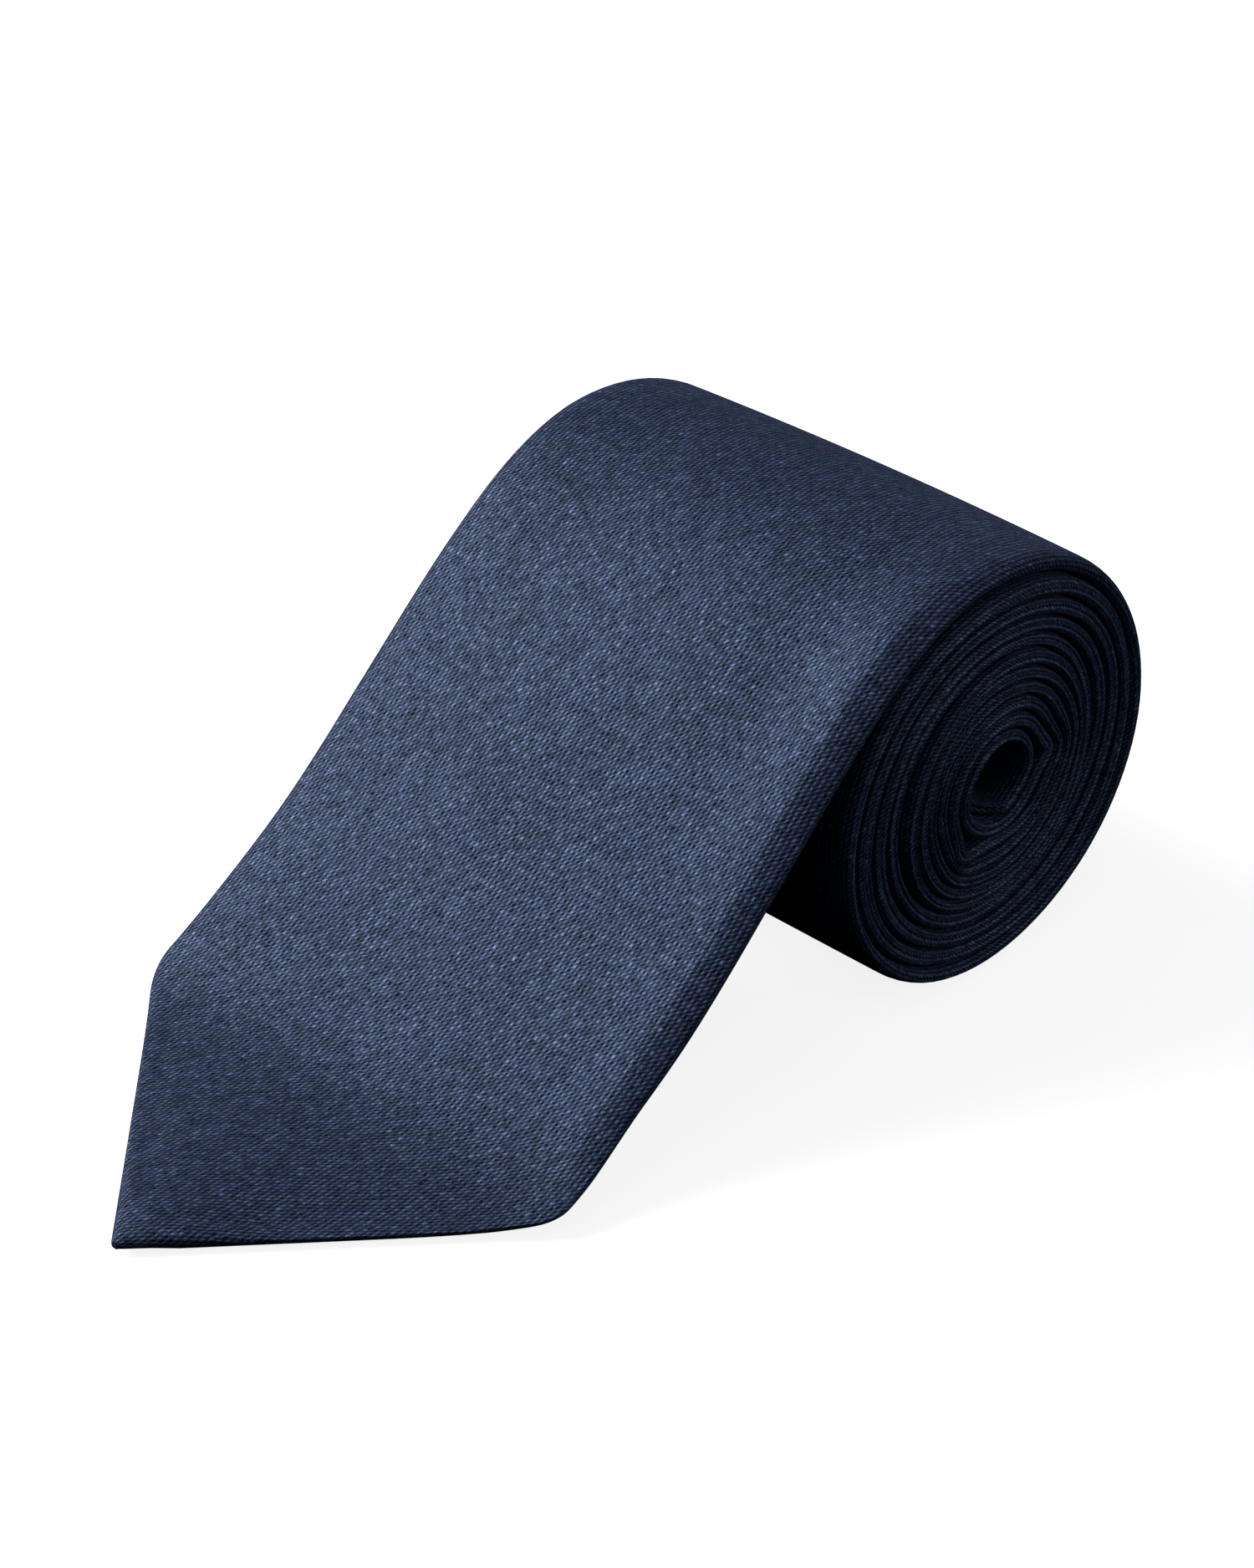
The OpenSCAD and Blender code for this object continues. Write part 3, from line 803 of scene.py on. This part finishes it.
def shell_cloth():
    """Navy cloth cut on the bias: floats painted lighter as a highlight over a darker ground, with
    painted shade in its open pits.
    """
    sh = Shader("shell_cloth")
    u, v = sh.cloth_uv()
    wander = sh.noise(sh.joined(u, v, 0.0), 1.4, 2.0)
    sway = sh.noise(sh.joined(u, v, 9.0), 1.4, 2.0)
    wu = sh.add(u, sh.spread(wander, 0.25, 0.75, -0.16, 0.16))
    wv = sh.add(v, sh.spread(sway, 0.25, 0.75, -0.14, 0.14))
    warp, warp_chance = float_spots(sh, wu, wv, shift=0.0, long=0.29, wide=0.112, lean=58)
    pit, pit_chance = float_spots(sh, wu, wv, shift=0.5, long=0.25, wide=0.135, lean=60)
    # The yarns run at 45 degrees to the tie, along a and b
    a = sh.times(sh.add(u, v), math.sqrt(0.5))
    b = sh.times(sh.math("SUBTRACT", v, u), math.sqrt(0.5))
    yarn = sh.noise(sh.joined(sh.times(a, 0.06), sh.times(b, 1.3), 0.0), 1.0, 3.0, 0.6)
    cross = sh.noise(sh.joined(sh.times(b, 0.06), sh.times(a, 1.3), 3.0), 1.0, 3.0, 0.6)
    slub = sh.noise(sh.joined(sh.times(a, 0.14), sh.times(b, 1.5), 7.0), 1.0, 1.0)
    slub = sh.spread(slub, 0.66, 0.80, 0, 1)
    tone = sh.noise(sh.joined(u, v, 0.0), 0.035, 2.0)
    fleck = sh.spread(warp_chance, 0.97, 1.0, 0.0, 1.0)
    lift = sh.add(sh.spread(yarn, 0.3, 0.7, 0.90, 1.10), sh.times(slub, 0.50))
    lift = sh.times(lift, sh.spread(cross, 0.3, 0.7, 0.93, 1.07))
    lift = sh.times(lift, sh.spread(warp_chance, 0, 1, 0.66, 1.34))
    lift = sh.times(lift, sh.spread(tone, 0.3, 0.7, 0.92, 1.08))
    lift = sh.add(lift, sh.times(fleck, 0.9))
    pit_depth = sh.math("MINIMUM", sh.times(pit, sh.spread(pit_chance, 0, 1, 0.7, 1.8)), 1.0)
    # The open pits of the weave are real; their near-black navy is painted shade falling into them.
    painted_pit_shade = (0.0025, 0.0048, 0.0150, 1)
    ground_navy = (0.0138, 0.0236, 0.0665, 1)
    # The raised floats of the weave are real; their much lighter blue is a painted highlight where
    # light catches them.
    float_highlight_blue = (0.1090, 0.1370, 0.2150, 1)
    ground = sh.mixed(pit_depth, sh.scaled(ground_navy, lift), painted_pit_shade)
    colour = sh.mixed(warp, ground, sh.scaled(float_highlight_blue, lift))
    height = sh.math("SUBTRACT", warp, sh.times(pit_depth, 0.8))
    fuzz = sh.noise(sh.joined(sh.times(a, 0.5), b, 0.0), 7.0, 2.0)
    colour = sh.scaled(colour, sh.spread(fuzz, 0.3, 0.7, 0.80, 1.20))
    height = sh.add(height, sh.times(fuzz, 0.5))
    unshaded = sh.math("MULTIPLY_ADD", pit_depth, -0.9, 1.0)
    shine = sh.times(sh.math("MULTIPLY_ADD", warp, 1.1, 0.35), unshaded)
    shine = sh.times(shine, sh.math("MINIMUM", lift, 1.6))
    return sh.finish(
        Base_Color=colour, Roughness=sh.spread(warp, 0.0, 1.0, 0.58, 0.48),
        Normal=sh.bump(height, 0.5, 0.00009),
        Specular_IOR_Level=sh.math("MINIMUM", sh.times(shine, 1.25), 2.0),
        Specular_Tint=(0.42, 0.58, 1.0, 1),
        Sheen_Weight=0.06, Sheen_Roughness=0.45, Sheen_Tint=(0.42, 0.55, 0.90, 1))


def lining_satin():
    """Smooth navy lining with the fine lines of its weft."""
    sh = Shader("tipping_lining")
    u, v = sh.cloth_uv()
    line = sh.half_up(sh.sine(sh.add(u, sh.times(v, 0.35)), 0.24))
    broken = sh.noise(sh.joined(sh.times(u, 4.0), sh.times(v, 0.4), 0.0), 1.0, 2.0)
    tone = sh.noise(sh.joined(u, v, 5.0), 0.08, 2.0)
    share = sh.times(line, sh.spread(broken, 0.3, 0.7, 0.6, 1.0))
    shaded_navy = (0.010, 0.014, 0.040, 1)
    lit_navy = (0.034, 0.046, 0.112, 1)
    colour = sh.mixed(share, shaded_navy, lit_navy)
    colour = sh.scaled(colour, sh.spread(tone, 0.3, 0.7, 0.88, 1.12))
    return sh.finish(
        Base_Color=colour, Roughness=sh.spread(share, 0, 1, 0.42, 0.30),
        Normal=sh.bump(share, 0.35, 0.00003), Specular_IOR_Level=0.6,
        Sheen_Weight=0.15, Sheen_Roughness=0.3, Sheen_Tint=(0.4, 0.5, 0.9, 1))


def interlining_wool():
    """Brushed, napped wool blend in its natural colour."""
    sh = Shader("interlining_wool")
    u, v = sh.cloth_uv()
    weave = sh.times(sh.sine(u, 1.1), sh.sine(v, 1.3))
    nap = sh.noise(sh.joined(u, v, 0.0), 2.4, 5.0, 0.7)
    share = sh.math("MULTIPLY_ADD", weave, 0.18, nap)
    shaded_cream = (0.56, 0.50, 0.41, 1)
    lit_cream = (0.86, 0.82, 0.73, 1)
    colour = sh.mixed(share, shaded_cream, lit_cream)
    return sh.finish(
        Base_Color=colour, Roughness=sh.spread(share, 0, 1, 0.95, 0.85),
        Normal=sh.bump(share, 0.6, 0.0002), Specular_IOR_Level=0.2,
        Sheen_Weight=0.4, Sheen_Roughness=0.6, Sheen_Tint=(0.95, 0.92, 0.85, 1))


def sewing_thread():
    """Twisted navy thread, its plies running round it."""
    sh = Shader("sewing_thread")
    u, v = sh.cloth_uv()
    plies = 2
    twist = 0.55
    turn_u = sh.times(u, 2 * math.pi / (math.pi * THREAD) * plies)
    turn = sh.add(turn_u, sh.times(v, 2 * math.pi / twist))
    ply = sh.half_up(sh.math("SINE", turn))
    fuzz = sh.noise(sh.joined(u, v, 0.0), 6.0, 2.0)
    share = sh.times(ply, sh.spread(fuzz, 0.3, 0.7, 0.7, 1.0))
    shaded_navy = (0.008, 0.011, 0.024, 1)
    lit_navy = (0.045, 0.060, 0.115, 1)
    colour = sh.mixed(share, shaded_navy, lit_navy)
    return sh.finish(
        Base_Color=colour, Roughness=sh.spread(share, 0, 1, 0.6, 0.45),
        Normal=sh.bump(share, 0.6, 0.00005), Specular_IOR_Level=0.5,
        Sheen_Weight=0.2, Sheen_Roughness=0.4)


def label_satin():
    """Blank woven label: close warp satin crossed by faint picks."""
    sh = Shader("label_satin")
    u, v = sh.cloth_uv()
    ends = sh.half_up(sh.sine(u, 0.20))
    picks = sh.half_up(sh.sine(v, 0.34))
    share = sh.math("MULTIPLY_ADD", ends, 0.7, sh.times(picks, 0.3))
    tone = sh.noise(sh.joined(u, v, 2.0), 0.3, 2.0)
    shaded_navy = (0.030, 0.042, 0.090, 1)
    lit_navy = (0.075, 0.100, 0.190, 1)
    colour = sh.mixed(share, shaded_navy, lit_navy)
    colour = sh.scaled(colour, sh.spread(tone, 0.3, 0.7, 0.9, 1.1))
    return sh.finish(
        Base_Color=colour, Roughness=sh.spread(share, 0, 1, 0.45, 0.35),
        Normal=sh.bump(share, 0.4, 0.00004), Specular_IOR_Level=0.6,
        Sheen_Weight=0.1, Sheen_Roughness=0.3)


materials = {
    "shell_cloth": shell_cloth(),
    "tipping_lining": lining_satin(),
    "interlining_wool": interlining_wool(),
    "sewing_thread": sewing_thread(),
    "label_satin": label_satin(),
}


def dress(obj, slot):
    obj.data.materials.clear()
    obj.data.materials.append(materials[slot])
    return obj


# ---- The outer cloth ----


def shell(name, s, node, rests_on, **counts):
    obj = dress(shell_piece(name, s, **counts), "shell_cloth")
    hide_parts(node)
    return obj


def make_shells():
    few = {"front_n": 9, "back_n": 5}
    tail_s = wound_stations(0, TAIL_TURN, 54)
    tail = shell("shell_tail", tail_s, "tail_shell", "shell_neck", **few)
    neck_s = wound_stations(TAIL_TURN, NECK_TURN, 66)
    neck = shell("shell_neck", neck_s, "neck_shell", "shell_blade_wound", **few)
    blade_s = wound_stations(NECK_TURN, BOTTOM_TURN, 84)
    blade = shell("shell_blade_wound", blade_s, "blade_shell_wound", "shell_blade_upper")
    for obj in (tail, neck, blade):
        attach(obj, "roll")
    upper = shell("shell_blade_upper", upper_s, "blade_shell_drawn", "shell_blade_wound")
    bend_with_blade(upper)
    lower = shell("shell_blade_lower", lower_s, "blade_shell_tip", "shell_blade_upper")
    bend_with_tip(lower)


# ---- Inside the tie: the interlining hangs from the front, the lining stands on the back ----

def inner_layer(name, s, slot, node, gap_top, thick, inset, from_back=None):
    """A layer of cloth inside the fold, hung from the front or stood on the back."""
    left, right = side_edges(s)
    width = right - left
    inset = np.minimum(inset, 0.38 * width)
    f = np.linspace(0, 1, 13)
    x = (left + inset)[:, None] + (width - 2 * inset)[:, None] * f
    if from_back is None:
        top = front_depth(s, x) - gap_top
    else:
        top = (from_back + thick - layer_at(s))[:, None] + 0 * x
    low = top - np.asarray(thick)[:, None]
    if from_back is None:
        floor = (wool_room(s) - layer_at(s))[:, None]
        low = np.minimum(np.maximum(low, floor), top - LEAST_LAYER)
    rings = np.concatenate([place(x, top, s), place(x[:, ::-1], low[:, ::-1], s)], axis=1)
    u = np.hstack([x, x[:, ::-1]])
    obj = dress(ring_mesh(name, rings, u, s, strip_quads(x.shape[1])), slot)
    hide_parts(node)
    return obj


def lining_lift(s):
    """How far the lining lies above the back of the tie."""
    return 0.87 + 0.42 * smooth(s, 45, 70)


def wool_room(s):
    """Room kept under the interlining for the back of the shell and, near the tip, the lining."""
    lined = 1 - smooth(s, TACK_ALONG + 10, TACK_ALONG + 24)
    return 1.0 + (lining_lift(s) + LINING + 0.15 - 1.0) * lined


def wool_thickness(s):
    """Thickness of the interlining, which fills the room left for it."""
    return np.maximum(LEAST_LAYER, layer_at(s) - WOOL_GAP - wool_room(s))


def wool(name, node, s, inset):
    return inner_layer(name, s, "interlining_wool", node, WOOL_GAP, wool_thickness(s), inset)


def lining(name, node, s, inset, thick=LINING, lift=None):
    lift = lining_lift(s) if lift is None else np.full_like(s, lift)
    thin = np.full_like(s, thick)
    return inner_layer(name, s, "tipping_lining", node, 0, thin, inset, lift)


def make_inside():
    tail_s = wound_stations(TAIL_POINT / 34, TAIL_TURN + 0.5, 48)
    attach(wool("interlining_tail", "tail_interlining", tail_s, 1.4), "roll")
    wound_s = wound_stations(TAIL_TURN + 0.52, BOTTOM_TURN, 48)
    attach(wool("interlining_wound", "blade_interlining_wound", wound_s, 1.4), "roll")
    bend_with_blade(wool("interlining_upper", "blade_interlining_drawn", upper_s, 1.9))
    wool_s = lower_s[lower_s > WOOL_FROM]
    bend_with_tip(wool("interlining_lower", "blade_interlining_tip", wool_s, 2.2))
    drawn_lining_s = np.linspace(TACK_ALONG + 6, CUT_ALONG, 24)
    bend_with_blade(lining("tipping_upper", "blade_tipping_drawn", drawn_lining_s, 2.2))
    tip_lining_s = lower_s[lower_s > LINING_FROM]
    bend_with_tip(lining("tipping_lower", "blade_tipping_tip", tip_lining_s, 2.4))
    tail_lining_s = wound_stations(0.12, 1.5, 48)
    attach(lining("tipping_tail", "tail_tipping", tail_lining_s, 1.6, thick=0.2, lift=0.5), "roll")


# ---- Stitches ----

def thread(name, paths, node, thickness=THREAD):
    obj = dress(thread_piece(name, paths, thickness), "sewing_thread")
    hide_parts(node)
    return obj


def make_slip_stitch():
    s = np.arange(CREST_ALONG + 8, TIE_LEN - 80, 3.0)
    depth = -layer_at(s) + 0.36 + 0.20 * np.sin(2 * math.pi * s / 12.0)
    path = tie_points(back_middle(s), depth, s)
    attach(thread("slip_stitch", [path], "slip_stitch_thread", FINE_THREAD), "roll")


def seam_path(s0):
    """Small running stitches across the front of the tie."""
    left, right = (float(v) for v in side_edges(s0))
    x = np.arange(left + 1.5, right - 1.5, 0.6)
    depth = -0.62 - 0.12 * np.sin(2 * math.pi * x / 2.4)
    return tie_points(x, depth, np.full_like(x, s0))


def make_seams():
    for name, s0, node in (("neck_seam", NECK_ALONG, "neck_seam_thread"),
                           ("tail_seam", TAIL_ALONG, "tail_seam_thread")):
        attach(thread(name, [seam_path(s0)], node, FINE_THREAD), "roll")


def bar_tack_paths(s0, middle, half, height, proud):
    """A bar tack: a few strands across the seam, bound by close wraps."""
    base = -float(layer_at(s0)) + proud
    paths = []
    for k in (-1, 1):
        x = np.linspace(middle - half, middle + half, 13)
        paths.append(tie_points(x, base - 0.12 + 0.08 * ((x - middle) / half) ** 2,
                                np.full_like(x, s0 + 0.22 * k)))
    for x0 in np.linspace(middle - half + 0.3, middle + half - 0.3, 15):
        a = np.linspace(-0.35, math.pi + 0.35, 9)
        paths.append(tie_points(np.full_like(a, x0), base - 0.05 - 0.40 * np.sin(a),
                                s0 + height * np.cos(a)))
    return paths


def make_tacks():
    paths = bar_tack_paths(TACK_ALONG, middle=0.0, half=3.0, height=0.55, proud=0.30)
    bend_with_blade(thread("bar_tack", paths, "blade_bar_tack"))
    s0 = TIE_LEN - 75
    paths = bar_tack_paths(s0, middle=float(back_middle(s0)), half=3.0, height=0.5, proud=0.35)
    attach(thread("tail_bar_tack_stitches", paths, "tail_bar_tack", FINE_THREAD), "roll")


def make_spare_loop():
    """The spare loop of the slip stitch, which lets the tie stretch without breaking it."""
    a = np.linspace(0, 2 * math.pi, 41)
    s = TACK_ALONG - 1 - 6.5 * (1 - np.cos(a)) - 0.4
    x = 2.3 * np.sin(a) * np.sin(a / 2) ** 0.6 + 0.3 * np.sin(a / 2)
    depth = -layer_at(s) + 0.30 - 0.18 * np.sin(a / 2) + 0.07 * np.sin(2 * a)
    path = tie_points(x, depth, s)
    bend_with_blade(thread("spare_loop", [path], "slip_stitch_loop", thickness=0.32))


def make_hem_stitches():
    """Short slanting stitches from the turned hem into the lining."""
    paths = []
    for s0 in np.arange(HEM + 4, 60.0, 2.4):
        vl, vr = (float(v) for v in back_edges(s0))
        if vr - vl < 3:
            continue
        base = -float(layer_at(s0)) + 0.42 * float(smooth(s0, 45, 70))
        for edge, side in ((vl, 1), (vr, -1)):
            x = edge + side * np.array([-0.7, -0.45, -0.1, 0.3, 0.65, 0.85])
            depth = base + np.array([0.22, -0.06, -0.10, 0.25, 0.70, 0.98])
            paths.append(tie_points(x, depth, s0 + np.linspace(-0.35, 0.35, 6)))
    bend_with_tip(thread("hem_stitches", paths, "tip_hem_stitches", thickness=0.22))


# ---- Keeper loop and labels ----

def make_keeper():
    s = np.linspace(KEEPER_ALONG + KEEPER_BAND / 2, KEEPER_ALONG - KEEPER_BAND / 2, 9)
    middle = float(back_middle(KEEPER_ALONG))
    half, radius = KEEPER_ACROSS / 2, KEEPER_T / 2
    a = np.linspace(-90, 90, 7)
    right_x = middle + half - radius + radius * np.cos(np.radians(a))
    bow = radius * np.sin(np.radians(a))
    near = np.linspace(middle - 3, middle + half - 1, 8)
    far = np.linspace(middle + half - 1, middle - half + 1, 14)
    back = np.linspace(middle - half + 1, middle - 3.4, 7)
    x = np.concatenate([near, right_x, far, 2 * middle - right_x[::-1], back])
    centre = -0.06 - radius
    n = np.concatenate([
        near * 0 + centre - radius, centre + bow, far * 0 + centre + radius,
        centre + bow[::-1], back * 0 + centre - radius])
    obj = dress(strip_piece("keeper_band", s, x, n, 0.19), "shell_cloth")
    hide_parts("keeper_loop")
    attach(obj, "roll")
    paths = []
    for side in (-1, 1):
        x0 = middle + side * (KEEPER_ACROSS / 2 - 0.6)
        for s0 in np.linspace(KEEPER_ALONG - 3.2, KEEPER_ALONG + 3.2, 6):
            x1 = x0 + side * np.array([-0.3, 0.3, 0.9, 1.2])
            depth = -float(layer_at(s0)) + np.array([-0.52, -0.50, -0.20, 0.25])
            paths.append(tie_points(x1, depth, np.full(4, s0)))
    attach(thread("keeper_tacks", paths, "keeper_loop_tacks", thickness=0.2), "roll")


def make_label(name, node, s0, long, across):
    s = np.linspace(s0 + long / 2, s0 - long / 2, 13)
    middle = float(back_middle(s0))
    f = np.linspace(-1, 1, 15)
    x = middle + f * across / 2
    n = -0.06 - 0.02 * np.cos(f * math.pi)
    obj = dress(strip_piece(name, s, x[::-1], n[::-1], 0.2), "label_satin")
    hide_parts(node)
    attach(obj, "roll")


make_shells()
make_inside()
make_slip_stitch()
make_seams()
make_tacks()
make_spare_loop()
make_hem_stitches()
make_keeper()
make_label("blank_label_cloth", "blank_label", LABEL_ALONG, long=16, across=42)
make_label("care_label_cloth", "care_label", CARE_ALONG, long=22, across=14)


# ---- Studio ----

def direction_from(azimuth, elevation):
    """Unit vector towards a point seen at an azimuth and elevation; azimuth 0 is towards -Y."""
    a, e = math.radians(azimuth), math.radians(elevation)
    return Vector((math.sin(a) * math.cos(e), -math.cos(a) * math.cos(e), math.sin(e)))


def look_at(obj, place_at, target):
    obj.location = place_at
    obj.rotation_mode = "QUATERNION"
    obj.rotation_quaternion = (target - place_at).to_track_quat("-Z", "Y")


def soft_light(name, azimuth, elevation, distance, side, power):
    data = bpy.data.lights.new(name, "AREA")
    data.shape = "RECTANGLE"
    data.size = side
    data.size_y = side
    data.energy = power
    obj = new_object(name, data)
    target = Vector((0, 0, 0.03))
    look_at(obj, target + direction_from(azimuth, elevation) * distance, target)
    return obj


def make_lights():
    soft_light("key_light", azimuth=-61, elevation=35, distance=1.6, side=1.05, power=28.0)
    soft_light("fill_light", azimuth=20, elevation=75, distance=0.9, side=0.8, power=0.4)
    soft_light("side_light", azimuth=120, elevation=16, distance=0.9, side=0.6, power=1.1)
    # The surroundings light the cloth a little, from above only
    world = bpy.data.worlds.new("studio_world")
    bpy.context.scene.world = world
    world.use_nodes = True
    nodes, links = world.node_tree.nodes, world.node_tree.links
    where = nodes.new("ShaderNodeTexCoord")
    parts = nodes.new("ShaderNodeSeparateXYZ")
    links.new(where.outputs["Generated"], parts.inputs[0])
    above = nodes.new("ShaderNodeMapRange")
    for key, value in (("From Min", -0.05), ("From Max", 0.15), ("To Max", 0.06)):
        above.inputs[key].default_value = value
    links.new(parts.outputs["Z"], above.inputs["Value"])
    links.new(above.outputs["Result"], nodes["Background"].inputs["Strength"])
    nodes["Background"].inputs["Color"].default_value = (0.90, 0.95, 1.0, 1)


def stage_material(name, diffuse, centre_glow):
    """A pale surface that glows enough to stay white, more so away from the object."""
    sh = Shader(name)
    where = sh.node("ShaderNodeTexCoord").outputs["Object"]
    away = sh.node("ShaderNodeVectorMath", {0: where}, operation="LENGTH").outputs["Value"]
    glow = sh.spread(away, 0.25, 0.9, centre_glow, 1.0)
    return sh.finish(
        Base_Color=(diffuse, diffuse, diffuse, 1), Roughness=0.9, Specular_IOR_Level=0.1,
        Emission_Color=(1, 1, 1, 1), Emission_Strength=glow)


def only_seen(obj):
    """Keeps the white surroundings from lighting a dark object seen against them."""
    obj.visible_diffuse = False
    obj.visible_glossy = False
    obj.visible_transmission = False


def make_floor():
    ring = 64
    radii = [0.0, 0.1, 0.2, 0.35, 0.6, 1.0, 2.0, 4.0]
    verts = [(0, 0, 0)]
    for r in radii[1:]:
        verts += [(r * math.cos(a), r * math.sin(a), 0)
                  for a in np.linspace(0, 2 * math.pi, ring, endpoint=False)]
    faces = [(0, 1 + j, 1 + (j + 1) % ring) for j in range(ring)]
    for i in range(len(radii) - 2):
        base = 1 + i * ring
        faces += [(base + j, base + ring + j, base + ring + (j + 1) % ring, base + (j + 1) % ring)
                  for j in range(ring)]
    mesh = bpy.data.meshes.new("studio_floor")
    mesh.from_pydata(verts, [], faces)
    mesh.materials.append(stage_material("floor_white", 0.6, 0.86))
    obj = new_object("studio_floor", mesh)
    obj.location = (0, 0, -0.2 * MM)
    only_seen(obj)


def make_backdrop():
    bpy.ops.mesh.primitive_uv_sphere_add(segments=48, ring_count=24, radius=4.0)
    obj = bpy.context.active_object
    obj.name = "studio_backdrop"
    obj.data.flip_normals()
    obj.data.materials.append(stage_material("backdrop_white", 0.0, 1.0))
    obj.visible_shadow = False
    only_seen(obj)


def make_camera():
    """The camera that was fitted to the outline of the tie in the photograph."""
    distance = 0.553
    data = bpy.data.cameras.new("camera")
    data.lens = 94.1
    data.sensor_width = 36.0
    data.clip_start = 0.01
    data.clip_end = 50
    obj = new_object("camera", data)
    target = Vector((3.6, 12.1, 30.0)) * MM
    look_at(obj, target + direction_from(azimuth=45, elevation=32) * distance, target)
    bpy.context.scene.camera = obj


make_lights()
make_floor()
make_backdrop()
make_camera()
bpy.context.scene.view_settings.view_transform = "Standard"
